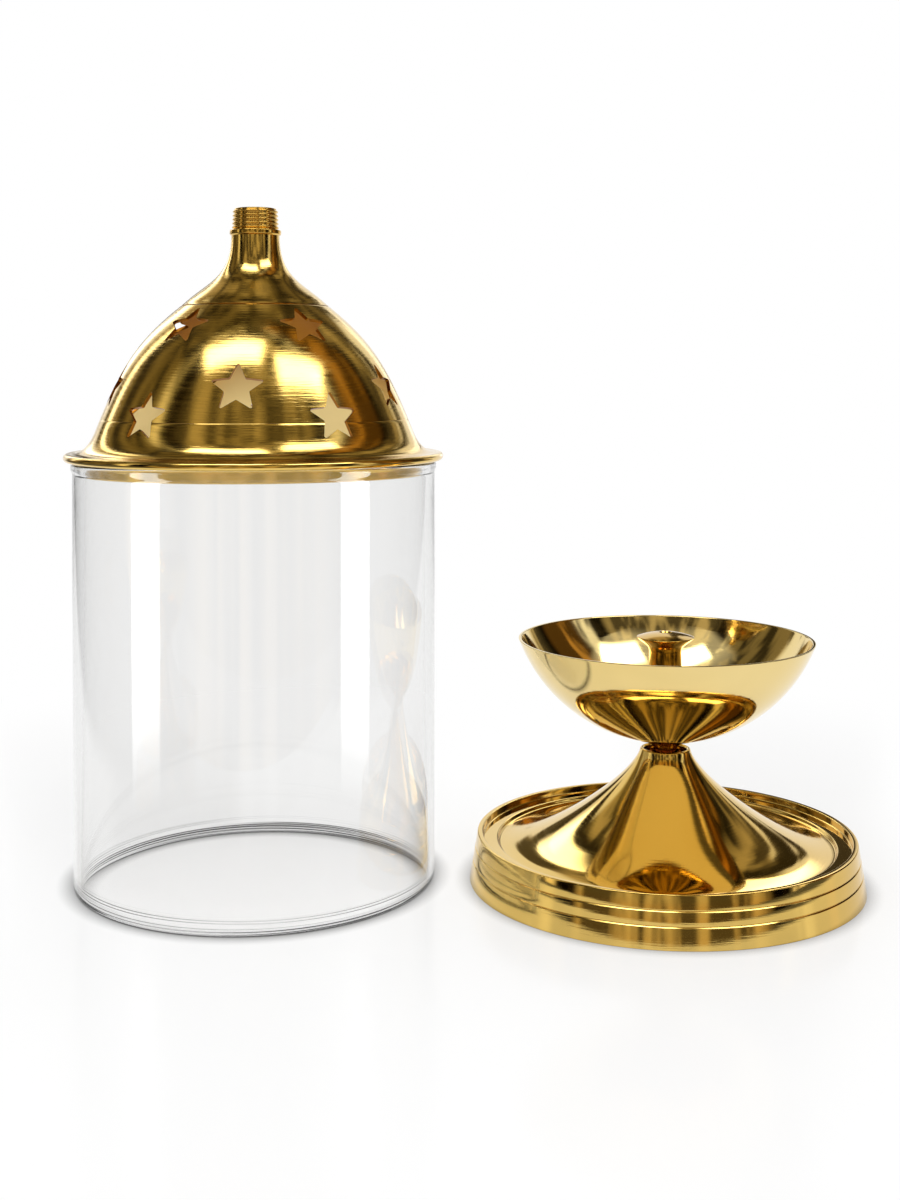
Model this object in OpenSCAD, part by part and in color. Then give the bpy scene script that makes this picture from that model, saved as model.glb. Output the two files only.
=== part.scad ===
// Akhand diya: a brass oil lamp with a glass chimney and a pierced dome lid.
// The chimney with its lid stands beside the pedestal that carries the oil bowl.
// Millimetres, +Z up, origin at the middle of the row on the floor.

/* [Pedestal] */
// Radius of the foot edge
foot_r = 54.2; // [50:0.1:65]
// Height of the top rim
rim_h = 13; // [10:0.5:18]
// Width of the flat land on the rim
rim_land = 1.5; // [1:0.1:2.5]
// Depth of the chimney seat below the rim
seat_depth = 2; // [1:0.1:3]
// Width of the flat chimney seat
seat_w = 4.5; // [4:0.1:6]
// Drop from the seat to the tray
tray_step = 1; // [0.4:0.1:2]
// Depth of each line turned round the wall
line_depth = 0.25; // [0.1:0.05:0.5]
// Width of each line turned round the wall
line_w = 0.5; // [0.3:0.1:1]
// Height of the upper turned line
upper_line_h = 9.1; // [7.5:0.1:9.5]
// Height of the lower turned line
lower_line_h = 5.4; // [3:0.1:6.5]
// Thickness of the spun brass sheet of the pedestal
pedestal_t = 1.2; // [0.8:0.1:1.6]
// Height of the open mouth of the cone
mouth_h = 36.4; // [30:0.5:45]
// Outer radius of the mouth of the cone
mouth_r = 7; // [6.5:0.1:9]

/* [Oil bowl] */
// Radius of the rim of the oil bowl
bowl_r = 40.7; // [36:0.1:44]
// Depth of the oil bowl outside
bowl_depth = 28.2; // [20:0.1:34]
// Thickness of the bowl sheet
bowl_t = 0.8; // [0.6:0.1:1.4]
// Height of the underside of the bowl above the mouth of the cone
bowl_lift = 2.1; // [1.5:0.1:5]
// Radius of the shoulder ring that drops into the mouth, and of the foot where it meets the bowl
shoulder_r = 5.2; // [4.5:0.1:5.4]
// Thickness of the shoulder ring
shoulder_t = 1.5; // [1:0.1:2.5]
// Radius of the waist above the shoulder ring
waist_r = 3.2; // [3.1:0.1:4.4]
// Radius of the screwed stud, below the shoulder and above it
stud_r = 2.5; // [2:0.1:3]
// Length of the stud below the shoulder ring
stud_len = 8; // [5:0.5:8]
// Length of the stud that stands up into the wick holder
socket_depth = 6; // [4:0.5:10]

/* [Wick holder] */
// Radius of the stem
stem_r = 4.5; // [3.8:0.1:6]
// Radius of the mushroom head
head_r = 8; // [6:0.1:11]
// Height of the widest part of the head above the rim of the bowl
head_rise = 0.4; // [-6:0.1:8]
// Height of the domed top of the head
head_crown = 1.4; // [1:0.1:4]
// Height of the conical underside of the head
head_under = 2.8; // [1.5:0.1:5]
// Radius of the bore that the wick passes through
wick_bore_r = 1.5; // [1:0.1:2]
// Radius of the cross hole that lets oil in to the wick
oil_port_r = 1.6; // [1:0.1:2]

/* [Glass chimney] */
// Outer radius of the glass tube
glass_r = 50; // [44:0.1:50.1]
// Wall of the glass tube
glass_t = 3; // [2.5:0.1:3.8]
// Height of the glass tube
glass_h = 116; // [90:1:150]
// How far the bead round the top stands proud
bead_out = 0.45; // [0.2:0.05:0.8]
// Height of the bead
bead_h = 3.2; // [2.5:0.1:5]
// Radius of the fire-polished edges
polish_r = 1.1; // [0.6:0.1:1.2]

/* [Lid] */
// Outer radius of the flange
flange_r = 52.4; // [51.5:0.1:58]
// Thickness of the rolled flange edge
flange_t = 2.2; // [1.6:0.1:3]
// Thickness of the spun sheet of the dome
dome_t = 1; // [0.7:0.1:1.3]
// Height of the dome from the flange to its open neck
dome_h = 62.4; // [52:0.1:80]
// Radius of the neck of the dome
neck_r = 6.7; // [6:0.1:8]
// Radius of the dome where it meets the flare above the flange
waist_dome_r = 43.7; // [40:0.1:44]
// Radius of the dome at the bend below the neck
bend_r = 19.8; // [18:0.1:24]
// Height of the shoulder where the dome meets the flare
shoulder_h = 8.6; // [7:0.1:10]
// Height of the locating collar below the flange
collar_h = 3.1; // [2:0.1:8]
// Wall of the locating collar
collar_t = 1; // [0.7:0.1:1.5]
// Depth of the plug of the spigot in the neck
plug_h = 4; // [2:0.1:6]
// Length of the ridged spigot above the neck
spigot_h = 7.6; // [6:0.1:12]
// Radius of the spigot at its top
spigot_top_r = 6.2; // [5:0.1:6.6]
// How far the shoulder ring of the spigot stands proud of the neck
spigot_ring_out = 0.45; // [0.2:0.05:1]
// Height of the shoulder ring of the spigot
spigot_ring_h = 1.6; // [1:0.1:2.5]
// Number of turned ridges on the spigot
ridge_count = 5; // [3:1:8]
// Depth of the grooves between the ridges
ridge_depth = 0.35; // [0.1:0.05:0.6]

/* [Stars] */
// Stars in each row
stars_per_row = 5; // [4:1:6]
// Outer radius of a star
star_r = 7.6; // [4:0.1:8]
// Inner radius of a star
star_inner_r = 3.4; // [2:0.05:3.6]
// Radius of the rounded tips of a star
star_tip_r = 0.45; // [0.2:0.05:0.8]
// Height of the lower row above the underside of the flange
star_low_h = 13; // [10:0.1:15]
// Height of the middle row
star_mid_h = 20.6; // [18:0.1:24]
// Height of the upper row
star_high_h = 37; // [34:0.1:40]

/* [Layout] */
// Clear space between the flange of the lid and the foot of the pedestal
row_gap = 7.4; // [2:0.1:60]
// How far the chimney stands behind the pedestal
set_back = 4.7; // [2:0.1:20]

/* [Clearances] */
// Radial clearance of the glass in the rim and of the collar in the glass
loose_fit = 0.5; // [0.3:0.05:1]
// Radial clearance of the studs in their threads
thread_fit = 0.06; // [0.02:0.01:0.1]
// Gap left for solder or seating between fixed pieces
seat_fit = 0.05; // [0.02:0.01:0.15]

/* [Hidden] */
$fn = 96;
overcut = 1;
curve_steps = 14;
edge_cut = 0.4;
fine_cut = 0.2;

// Places of the two groups in the row
row_len = 2 * flange_r + row_gap + 2 * foot_r;
chimney_x = flange_r - row_len / 2;
pedestal_x = row_len / 2 - foot_r;
pedestal_y = (foot_r - flange_r - set_back) / 2;
chimney_y = pedestal_y + set_back;

// Pedestal levels and radii
seat_r = glass_r + loose_fit;
rim_r = seat_r + rim_land;
seat_z = rim_h - seat_depth;
tray_r = seat_r - seat_w;
tray_z = seat_z - tray_step;
lip_r = pedestal_t / 2;
cone_fall = mouth_h - lip_r - tray_z;
neck_share = 0.26;
neck_flare = 1.5;
tray_run = 0.3 * tray_r;
tray_rise = 0.3;

// Trumpet curve of the pedestal from the mouth down to the tray
cone_curve = [
    [mouth_r, mouth_h - lip_r],
    [mouth_r + neck_flare, mouth_h - lip_r - neck_share * cone_fall],
    [tray_r - tray_run, tray_z + tray_rise],
    [tray_r, tray_z]
];

// Bush up inside the cone, along a stretch of its curve
bush_from = 0.13;
bush_to = 0.24;
bush_h = 7;
bush_side = pedestal_t + seat_fit;
bush_top_z = curve_offset(cone_curve, bush_from, bush_side)[1];
shoulder_top_z = bush_top_z + shoulder_t;

// Bowl: a cap of a sphere hung above the mouth of the cone
bowl_sphere_r = (bowl_r * bowl_r + bowl_depth * bowl_depth) / (2 * bowl_depth);
bowl_bottom_z = mouth_h + bowl_lift;
bowl_rim_z = bowl_bottom_z + bowl_depth;
bowl_centre_z = bowl_bottom_z + bowl_sphere_r;
bowl_in_r = bowl_sphere_r - bowl_t;
waist_cone_h = 2;

// Wick holder levels
stem_foot_z = sphere_z(bowl_in_r, stem_r) + seat_fit;
head_z = bowl_rim_z + head_rise;
socket_top_z = stem_foot_z + socket_depth + seat_fit;
port_floor = 1;
port_z = socket_top_z + oil_port_r + port_floor;
head_edge = 0.5;
wick_mouth = 0.3;

// Lid levels, counted from the underside of the flange
bend_h = 0.694 * dome_h;
neck_share_h = 0.38 * (dome_h - bend_h);
collar_r = glass_r - glass_t - loose_fit;

// How far the control points of the dome lie from the ends of its stretches, as [radius, height]
bend_up = [6.2, 6];
bend_down = [12.4, -9.9];
waist_up = [7, 17.9];
flare_top = [1.2, -3];
flare_low = [2.8, 0.2];

// Height of the lower half of a sphere over the bowl axis
function sphere_z(r, x) = bowl_centre_z - sqrt(r * r - x * x);

// A point and the left-hand normal on a cubic curve with four control points
function curve_point(p, t) =
    pow(1 - t, 3) * p[0] + 3 * t * pow(1 - t, 2) * p[1] + 3 * t * t * (1 - t) * p[2] + pow(t, 3) * p[3];
function curve_slope(p, t) =
    3 * pow(1 - t, 2) * (p[1] - p[0]) + 6 * t * (1 - t) * (p[2] - p[1]) + 3 * t * t * (p[3] - p[2]);
function curve_normal(p, t) =
    let (d = curve_slope(p, t)) [d[1], -d[0]] / norm(d);
function curve_offset(p, t, side) = curve_point(p, t) + side * curve_normal(p, t);
function curve(p, side = 0, from = 0, to = 1) =
    [for (i = [0 : curve_steps]) curve_offset(p, from + (to - from) * i / curve_steps, side)];

// Points on an arc about a centre, in degrees
function arc(c, r, a0, a1, steps = 6) =
    [for (i = [0 : steps]) let (a = a0 + (a1 - a0) * i / steps) c + r * [cos(a), sin(a)]];
function reversed(list) = [for (i = [len(list) - 1 : -1 : 0]) list[i]];

// The three stretches of the ogee of the dome, from the neck to the flange
neck_curve = [
    [neck_r, dome_h],
    [neck_r, bend_h + neck_share_h],
    [bend_r - bend_up[0], bend_h + bend_up[1]],
    [bend_r, bend_h]
];
dome_curve = [
    [bend_r, bend_h],
    [bend_r + bend_down[0], bend_h + bend_down[1]],
    [waist_dome_r - waist_up[0], shoulder_h + waist_up[1]],
    [waist_dome_r, shoulder_h]
];
flare_curve = [
    [waist_dome_r, shoulder_h],
    [waist_dome_r + flare_top[0], shoulder_h + flare_top[1]],
    [waist_dome_r + flare_low[0], flange_t + flare_low[1]],
    [flange_r - flange_t, flange_t]
];

module at_pedestal() { translate([pedestal_x, pedestal_y, 0]) children(); }
module at_chimney() { translate([chimney_x, chimney_y, 0]) children(); }
module at_lid() { at_chimney() translate([0, 0, glass_h]) children(); }
module turned(points) { rotate_extrude() polygon(points); }

// Spun shell: leaning wall with turned lines, rim, chimney seat, tray and trumpet cone, open below
module pedestal() {
    taper = (foot_r - rim_r) / rim_h;
    wall_in_r = seat_r - fine_cut;
    color("goldenrod") at_pedestal() turned(concat(
        [[foot_r, 0]],
        [for (h = [lower_line_h, upper_line_h])
            each [[foot_r - taper * (h - line_w / 2), h - line_w / 2],
                  [foot_r - taper * h - line_depth, h],
                  [foot_r - taper * (h + line_w / 2), h + line_w / 2]]],
        [[rim_r, rim_h],
         [seat_r, rim_h],
         [seat_r, seat_z],
         [tray_r + edge_cut, seat_z]],
        reversed(curve(cone_curve)),
        arc([mouth_r - lip_r, mouth_h - lip_r], lip_r, 0, 180),
        curve(cone_curve, pedestal_t, 0.01),
        [[tray_r + edge_cut, seat_z - tray_step - pedestal_t],
         [wall_in_r, seat_z - pedestal_t],
         [foot_r - pedestal_t - fine_cut, 0]]));
}

// Tapered bush soldered up inside the neck, with the thread for the bowl
module neck_bush() {
    flank = curve(cone_curve, bush_side, bush_from, bush_to);
    bush_low_z = bush_top_z - bush_h;
    color("darkgoldenrod") at_pedestal() turned(concat(
        [[stud_r + thread_fit, bush_top_z]],
        flank,
        [[flank[curve_steps][0], bush_low_z],
         [stud_r + thread_fit, bush_low_z]]));
}

// Spun cap of a sphere with a thin rim and a hole for the stud
module oil_bowl() {
    hole_r = stud_r + seat_fit;
    out_a0 = asin(hole_r / bowl_sphere_r);
    out_a1 = asin(bowl_r / bowl_sphere_r);
    in_a1 = acos((bowl_centre_z - bowl_rim_z) / bowl_in_r);
    in_a0 = asin(hole_r / bowl_in_r);
    c = [0, bowl_centre_z];
    color("gold") at_pedestal() turned(concat(
        arc(c, bowl_sphere_r, out_a0 - 90, out_a1 - 90, 28),
        arc(c, bowl_in_r, in_a1 - 90, in_a0 - 90, 28)));
}

// Turned foot of the bowl: stud, shoulder ring, waist and upper stud
module bowl_foot() {
    under_z = sphere_z(bowl_sphere_r, shoulder_r) - seat_fit;
    stud_low_z = bush_top_z - stud_len;
    stud_top_z = stem_foot_z + socket_depth;
    color("peru") at_pedestal() turned([
        [0, stud_low_z],
        [stud_r - edge_cut, stud_low_z],
        [stud_r, stud_low_z + edge_cut],
        [stud_r, bush_top_z],
        [shoulder_r, bush_top_z],
        [shoulder_r, shoulder_top_z],
        [waist_r, shoulder_top_z + edge_cut],
        [waist_r, under_z - fine_cut - waist_cone_h],
        [shoulder_r, under_z - fine_cut],
        [shoulder_r, under_z],
        [stud_r, sphere_z(bowl_sphere_r, stud_r) - seat_fit],
        [stud_r, stud_top_z - edge_cut],
        [stud_r - edge_cut, stud_top_z],
        [0, stud_top_z]]);
}

// Turned wick holder: stem, mushroom head, wick bore and oil port
module wick_holder() {
    crown_r = (head_r * head_r + head_crown * head_crown) / (2 * head_crown);
    crown_c = [0, head_z + head_crown - crown_r];
    crown_a0 = asin((wick_bore_r + wick_mouth) / crown_r);
    crown_a1 = asin(head_r / crown_r);
    socket_r = stud_r + thread_fit;
    color("orange") at_pedestal() difference() {
        turned(concat(
            [[socket_r, stem_foot_z],
             [stem_r, stem_foot_z],
             [stem_r, head_z - head_under],
             [head_r - head_edge, head_z - head_edge]],
            arc(crown_c, crown_r, 90 - crown_a1, 90 - crown_a0, 10),
            [[wick_bore_r, crown_c[1] + crown_r - head_edge],
             [wick_bore_r, socket_top_z],
             [socket_r, socket_top_z]]));
        translate([-stem_r - overcut, 0, port_z])
            rotate([0, 90, 0]) cylinder(r = oil_port_r, h = 2 * (stem_r + overcut));
    }
}

// Open glass tube with fire-polished edges and a bead round the top
module glass_chimney() {
    inner_r = glass_r - glass_t;
    bead_r = glass_r + bead_out;
    bead_rise = 0.3 * bead_h;
    color("lightcyan", 0.4) at_chimney() turned(concat(
        arc([glass_r - polish_r, polish_r], polish_r, -90, 0),
        [[glass_r, glass_h - bead_h],
         [bead_r, glass_h - bead_h + bead_rise]],
        arc([bead_r - polish_r, glass_h - polish_r], polish_r, 0, 90),
        arc([inner_r + polish_r, glass_h - polish_r], polish_r, 90, 180),
        arc([inner_r + polish_r, polish_r], polish_r, 180, 270)));
}

// Outline of a five-pointed star with rounded tips, one tip up
module star_outline() {
    half_tip = atan(star_inner_r * sin(36) / (star_r - star_inner_r * cos(36)));
    tip_back = star_tip_r / sin(half_tip);
    polygon([for (k = [0 : 4]) let (a = 90 + 72 * k, c = (star_r - tip_back) * [cos(a), sin(a)])
        each concat(
            arc(c, star_tip_r, a - 90 + half_tip, a + 90 - half_tip, 4),
            [star_inner_r * [cos(a + 36), sin(a + 36)]])]);
}

// Place and lean of the dome surface at a height, by halving the curve
function dome_t_at(h, lo = 0, hi = 1, n = 12) =
    let (mid = (lo + hi) / 2)
    n == 0 ? mid :
    curve_point(dome_curve, mid)[1] > h ? dome_t_at(h, mid, hi, n - 1) : dome_t_at(h, lo, mid, n - 1);

// One row of star punches, square to the surface of the dome
module star_row(h, turn) {
    t = dome_t_at(h);
    p = curve_point(dome_curve, t);
    n = -curve_normal(dome_curve, t);
    lean = atan2(n[1], n[0]);
    for (k = [0 : stars_per_row - 1])
        rotate([0, 0, turn - 90 + 360 * k / stars_per_row])
            translate([p[0], 0, p[1]])
            rotate([0, -lean, 0])
            rotate([90, 0, 90])
            translate([0, 0, -4 * dome_t])
            linear_extrude(8 * dome_t) star_outline();
}

// Spun ogee dome with a rolled flange and three rows of stars
module lid_dome() {
    half_turn = 180 / stars_per_row;
    edge = flange_t / 2;
    flat_in_r = collar_r - collar_t - seat_fit;
    color("goldenrod") at_lid() difference() {
        turned(concat(
            curve(neck_curve),
            curve(dome_curve),
            curve(flare_curve),
            arc([flange_r - edge, edge], edge, 90, -90),
            [[flat_in_r, 0],
             [flat_in_r, edge_cut]],
            reversed(curve(flare_curve, dome_t, 0, 0.3)),
            reversed(curve(dome_curve, dome_t)),
            reversed(curve(neck_curve, dome_t))));
        star_row(star_low_h, half_turn);
        star_row(star_mid_h, 0);
        star_row(star_high_h, half_turn);
    }
}

// Collar soldered under the flange, which locates the lid in the glass
module lid_collar() {
    color("darkgoldenrod") at_lid() turned([
        [collar_r - collar_t, 0],
        [collar_r - collar_t, -collar_h],
        [collar_r - edge_cut, -collar_h],
        [collar_r, edge_cut - collar_h],
        [collar_r, 0]]);
}

// Turned spigot plugged into the neck, with a shoulder ring and ridges
module lid_spigot() {
    plug_r = neck_r - dome_t - seat_fit;
    ring_r = neck_r + spigot_ring_out;
    base_r = neck_r - fine_cut;
    body_z = dome_h + spigot_ring_h;
    pitch = (spigot_h - spigot_ring_h) / (ridge_count + 0.5);
    slope = (spigot_top_r - base_r) / (spigot_h - spigot_ring_h);
    color("peru") at_lid() turned(concat(
        [[0, dome_h - plug_h],
         [plug_r, dome_h - plug_h],
         [plug_r, dome_h],
         [neck_r, dome_h],
         [ring_r, dome_h + edge_cut],
         [ring_r, body_z - fine_cut],
         [ring_r - fine_cut, body_z]],
        [for (k = [0 : ridge_count - 1])
            let (z = k * pitch, r = base_r + slope * z)
            each [[r - ridge_depth, body_z + z],
                  [r - ridge_depth, body_z + z + 0.3 * pitch],
                  [r, body_z + z + 0.5 * pitch],
                  [r, body_z + z + 0.8 * pitch]]],
        [[spigot_top_r - ridge_depth, body_z + ridge_count * pitch],
         [spigot_top_r - ridge_depth, dome_h + spigot_h - fine_cut],
         [spigot_top_r - ridge_depth - fine_cut, dome_h + spigot_h],
         [0, dome_h + spigot_h]]));
}

pedestal();
neck_bush();
oil_bowl();
bowl_foot();
wick_holder();
glass_chimney();
lid_dome();
lid_collar();
lid_spigot();
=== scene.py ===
"""Looks of a brass akhand diya: the spun and turned brass pieces, the glass chimney, and the studio."""
import math

import bmesh
import bpy
from mathutils import Matrix, Vector


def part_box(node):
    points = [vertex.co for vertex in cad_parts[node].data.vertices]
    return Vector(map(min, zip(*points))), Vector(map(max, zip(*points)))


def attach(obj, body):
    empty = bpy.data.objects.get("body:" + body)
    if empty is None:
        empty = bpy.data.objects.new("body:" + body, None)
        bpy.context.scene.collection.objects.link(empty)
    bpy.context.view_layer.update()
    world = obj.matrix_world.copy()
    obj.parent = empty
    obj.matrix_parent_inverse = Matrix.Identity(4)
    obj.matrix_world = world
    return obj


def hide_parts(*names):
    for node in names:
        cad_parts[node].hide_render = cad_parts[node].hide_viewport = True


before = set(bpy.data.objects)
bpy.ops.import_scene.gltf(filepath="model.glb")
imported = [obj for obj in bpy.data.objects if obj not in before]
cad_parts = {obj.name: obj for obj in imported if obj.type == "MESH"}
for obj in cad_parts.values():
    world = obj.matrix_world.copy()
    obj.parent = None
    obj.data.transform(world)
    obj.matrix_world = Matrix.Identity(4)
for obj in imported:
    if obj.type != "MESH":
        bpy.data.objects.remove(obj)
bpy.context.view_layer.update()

MM = 0.001
SEGMENTS = 256
# Points nearer to each other than this, in metres, are one point
SAME_POINT = 1e-7


def middle_and_base(node):
    """The upright axis of a turned node and the height of its lowest point, in millimetres."""
    low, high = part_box(node)
    return (low[0] + high[0]) / 2 / MM, (low[1] + high[1]) / 2 / MM, low[2] / MM


PEDESTAL_X, PEDESTAL_Y, _ = middle_and_base("oil_bowl")
CHIMNEY_X, CHIMNEY_Y, FLANGE_Z = middle_and_base("lid_dome")
PEDESTAL_AXIS = (PEDESTAL_X, PEDESTAL_Y)
CHIMNEY_AXIS = (CHIMNEY_X, CHIMNEY_Y)

# Sizes of the pedestal in millimetres, as the solids have them
FOOT_R = 54.2
RIM_R = 52.0
RIM_H = 13.0
SEAT_R = 50.5
SEAT_Z = 11.0
TRAY_R = 46.0
TRAY_Z = 10.0
LINE_DEPTH = 0.25
LINE_W = 0.5
UPPER_LINE_H = 9.1
LOWER_LINE_H = 5.4
EDGE_CUT = 0.4
FINE_CUT = 0.2
PEDESTAL_T = 1.2
MOUTH_R = 7.0
MOUTH_H = 36.4
LIP_R = PEDESTAL_T / 2
CONE_FALL = MOUTH_H - LIP_R - TRAY_Z
CONE_CURVE = [
    (MOUTH_R, MOUTH_H - LIP_R),
    (MOUTH_R + 1.5, MOUTH_H - LIP_R - 0.26 * CONE_FALL),
    (0.7 * TRAY_R, TRAY_Z + 0.3),
    (TRAY_R, TRAY_Z),
]
# Where along its curve the cone goes over to the eased edge of the tray
CONE_END = 0.97

# Sizes of the bowl, its foot and the wick holder
BOWL_R = 40.7
BOWL_DEPTH = 28.2
BOWL_T = 0.8
BOWL_BOTTOM_Z = MOUTH_H + 2.1
BOWL_SPHERE_R = (BOWL_R ** 2 + BOWL_DEPTH ** 2) / (2 * BOWL_DEPTH)
BOWL_CENTRE_Z = BOWL_BOTTOM_Z + BOWL_SPHERE_R
BOWL_RIM_Z = BOWL_BOTTOM_Z + BOWL_DEPTH
BUSH_H = 7.0
SHOULDER_R = 5.2
SHOULDER_T = 1.5
WAIST_R = 3.2
WAIST_CONE_H = 2.0
STUD_R = 2.5
THREAD_FIT = 0.06
SEAT_FIT = 0.05
STUD_LEN = 8.0
SOCKET_DEPTH = 6.0
STEM_R = 4.5
HEAD_R = 8.0
HEAD_Z = BOWL_RIM_Z + 0.4
HEAD_CROWN = 1.4
HEAD_UNDER = 2.8
WICK_BORE_R = 1.5
OIL_PORT_R = 1.6
DRILL_LEN = 20.0

# Sizes of the glass and the lid
GLASS_R = 50.0
GLASS_T = 3.0
GLASS_H = FLANGE_Z
BEAD_OUT = 0.45
BEAD_H = 3.2
POLISH_R = 1.1
FLANGE_R = 52.4
FLANGE_T = 2.2
DOME_T = 1.0
DOME_H = 62.4
NECK_R = 6.7
BEND_R = 19.8
BEND_H = 0.694 * DOME_H
SHOULDER_H = 8.6
DOME_WAIST_R = 43.7
COLLAR_R = 46.5
COLLAR_T = 1.0
COLLAR_H = 3.1
SPIGOT_H = 7.6
SPIGOT_PLUG = 4.0
SPIGOT_TOP_R = 6.2
SPIGOT_RING_OUT = 0.45
SPIGOT_RING_H = 1.6
RIDGES = 5
RIDGE_DEPTH = 0.35
NECK_CURVE = [
    (NECK_R, DOME_H),
    (NECK_R, BEND_H + 0.38 * (DOME_H - BEND_H)),
    (BEND_R - 6.2, BEND_H + 6),
    (BEND_R, BEND_H),
]
DOME_CURVE = [
    (BEND_R, BEND_H),
    (BEND_R + 12.4, BEND_H - 9.9),
    (DOME_WAIST_R - 7, SHOULDER_H + 17.9),
    (DOME_WAIST_R, SHOULDER_H),
]
FLARE_CURVE = [
    (DOME_WAIST_R, SHOULDER_H),
    (DOME_WAIST_R + 1.2, SHOULDER_H - 3),
    (DOME_WAIST_R + 2.8, FLANGE_T + 0.2),
    (FLANGE_R - FLANGE_T, FLANGE_T),
]
# Fine lines turned into the dome: height, depth and half of the width
DOME_LINES = [(BEND_H - 0.4, 0.16, 0.25), (SHOULDER_H + 2.9, 0.03, 0.15)]

# Stars: five in a row, three rows, each row turned half a step from the next
STARS_PER_ROW = 5
STAR_R = 7.6
STAR_INNER_R = 3.4
STAR_TIP_R = 0.45
STAR_EDGE = 0.14
PUNCH_DEPTH = 8 * DOME_T
# Heights between which the dome is pierced, in metres
STARS_FROM = (FLANGE_Z + 3) * MM
STARS_TO = (FLANGE_Z + BEND_H + 2) * MM
STAR_ROWS = [("Lower", 13.0, 0.5), ("Middle", 20.6, 0.0), ("Upper", 37.0, 0.5)]


def bezier(p, t):
    """A point on a cubic curve with four control points."""
    a, b, c, d = (1 - t) ** 3, 3 * t * (1 - t) ** 2, 3 * t * t * (1 - t), t ** 3
    return tuple(a * p[0][i] + b * p[1][i] + c * p[2][i] + d * p[3][i] for i in (0, 1))


def bezier_normal(p, t):
    """The unit normal on the inner side of a curve that runs down and outwards."""
    a, b, c = 3 * (1 - t) ** 2, 6 * t * (1 - t), 3 * t * t
    slope = [a * (p[1][i] - p[0][i]) + b * (p[2][i] - p[1][i]) + c * (p[3][i] - p[2][i]) for i in (0, 1)]
    length = math.hypot(*slope)
    return slope[1] / length, -slope[0] / length


def curve(p, steps, inside=0.0, start=0.0, stop=1.0):
    """Points along a curve, moved to its inner side by a thickness."""
    made = []
    for i in range(steps + 1):
        t = start + (stop - start) * i / steps
        (r, z), n = bezier(p, t), bezier_normal(p, t)
        made.append((r + inside * n[0], z + inside * n[1]))
    return made


def arc(r_mid, z_mid, radius, first, last, steps):
    """Points on an arc in the plane of a turned outline, with angles in degrees."""
    turns = [math.radians(first + (last - first) * i / steps) for i in range(steps + 1)]
    return [(r_mid + radius * math.cos(a), z_mid + radius * math.sin(a)) for a in turns]


def eased(corners, steps=4):
    """An outline whose corners, given as (r, z, radius), are rounded by short arcs of that radius."""
    made = []
    for i, (r, z, radius) in enumerate(corners):
        here = Vector((r, z))
        if radius <= 0 or i in (0, len(corners) - 1):
            made.append((r, z))
            continue
        back = Vector(corners[i - 1][:2]) - here
        ahead = Vector(corners[i + 1][:2]) - here
        cut = min(radius, 0.45 * back.length, 0.45 * ahead.length)
        start, stop = here + back.normalized() * cut, here + ahead.normalized() * cut
        for k in range(steps + 1):
            t = k / steps
            point = start * (1 - t) ** 2 + here * 2 * t * (1 - t) + stop * t * t
            made.append((point.x, point.y))
    return made


def turned(name, outline, axis, base_z=0.0, closed=True):
    """A piece of revolution about an upright axis, from an outline of (radius, height) in millimetres."""
    mesh = bmesh.new()
    rings = []
    for r, z in outline:
        height = (base_z + z) * MM
        if r < 1e-6:
            rings.append([mesh.verts.new((axis[0] * MM, axis[1] * MM, height))])
            continue
        turns = [2 * math.pi * k / SEGMENTS for k in range(SEGMENTS)]
        rings.append([mesh.verts.new(((axis[0] + r * math.cos(a)) * MM,
                                      (axis[1] + r * math.sin(a)) * MM, height)) for a in turns])
    pairs = list(zip(rings, rings[1:]))
    if closed and not (len(rings[0]) == 1 and len(rings[-1]) == 1):
        pairs.append((rings[-1], rings[0]))
    for low, high in pairs:
        for k in range(SEGMENTS):
            n = (k + 1) % SEGMENTS
            quad = [low[k % len(low)], low[n % len(low)], high[n % len(high)], high[k % len(high)]]
            corners = list(dict.fromkeys(quad))
            if len(corners) > 2:
                mesh.faces.new(corners)
    bmesh.ops.remove_doubles(mesh, verts=mesh.verts, dist=SAME_POINT)
    bmesh.ops.recalc_face_normals(mesh, faces=mesh.faces)
    data = bpy.data.meshes.new(name)
    mesh.to_mesh(data)
    mesh.free()
    return placed(name, data)


def smoothed(data, crease=32):
    """A mesh with smooth faces, and sharp edges where the surface really turns, by degrees."""
    for face in data.polygons:
        face.use_smooth = True
    data.set_sharp_from_angle(angle=math.radians(crease))
    return data


def placed(name, data):
    """A smoothed object at the origin."""
    piece = bpy.data.objects.new(name, smoothed(data))
    bpy.context.collection.objects.link(piece)
    return piece


def baked(piece, change):
    """The piece as a modifier leaves it, as a plain mesh under its own name."""
    graph = bpy.context.evaluated_depsgraph_get()
    made = bpy.data.meshes.new_from_object(piece.evaluated_get(graph))
    name = piece.name
    piece.modifiers.remove(change)
    bpy.data.objects.remove(piece)
    return placed(name, made)


def drilled(piece, radius, height):
    """The piece with a hole drilled through it along X, at a height on the axis of the pedestal."""
    mesh = bmesh.new()
    bmesh.ops.create_cone(mesh, cap_ends=True, segments=48, depth=DRILL_LEN * MM,
                          radius1=radius * MM, radius2=radius * MM)
    bmesh.ops.rotate(mesh, verts=mesh.verts, matrix=Matrix.Rotation(math.pi / 2, 3, "Y"))
    bmesh.ops.translate(mesh, verts=mesh.verts, vec=(PEDESTAL_X * MM, PEDESTAL_Y * MM, height * MM))
    data = bpy.data.meshes.new("drill")
    mesh.to_mesh(data)
    mesh.free()
    drill = bpy.data.objects.new("drill", data)
    bpy.context.collection.objects.link(drill)
    cut = piece.modifiers.new("oil_port", "BOOLEAN")
    cut.operation, cut.solver, cut.object = "DIFFERENCE", "EXACT", drill
    made = baked(piece, cut)
    bpy.data.objects.remove(drill)
    return made


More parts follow.
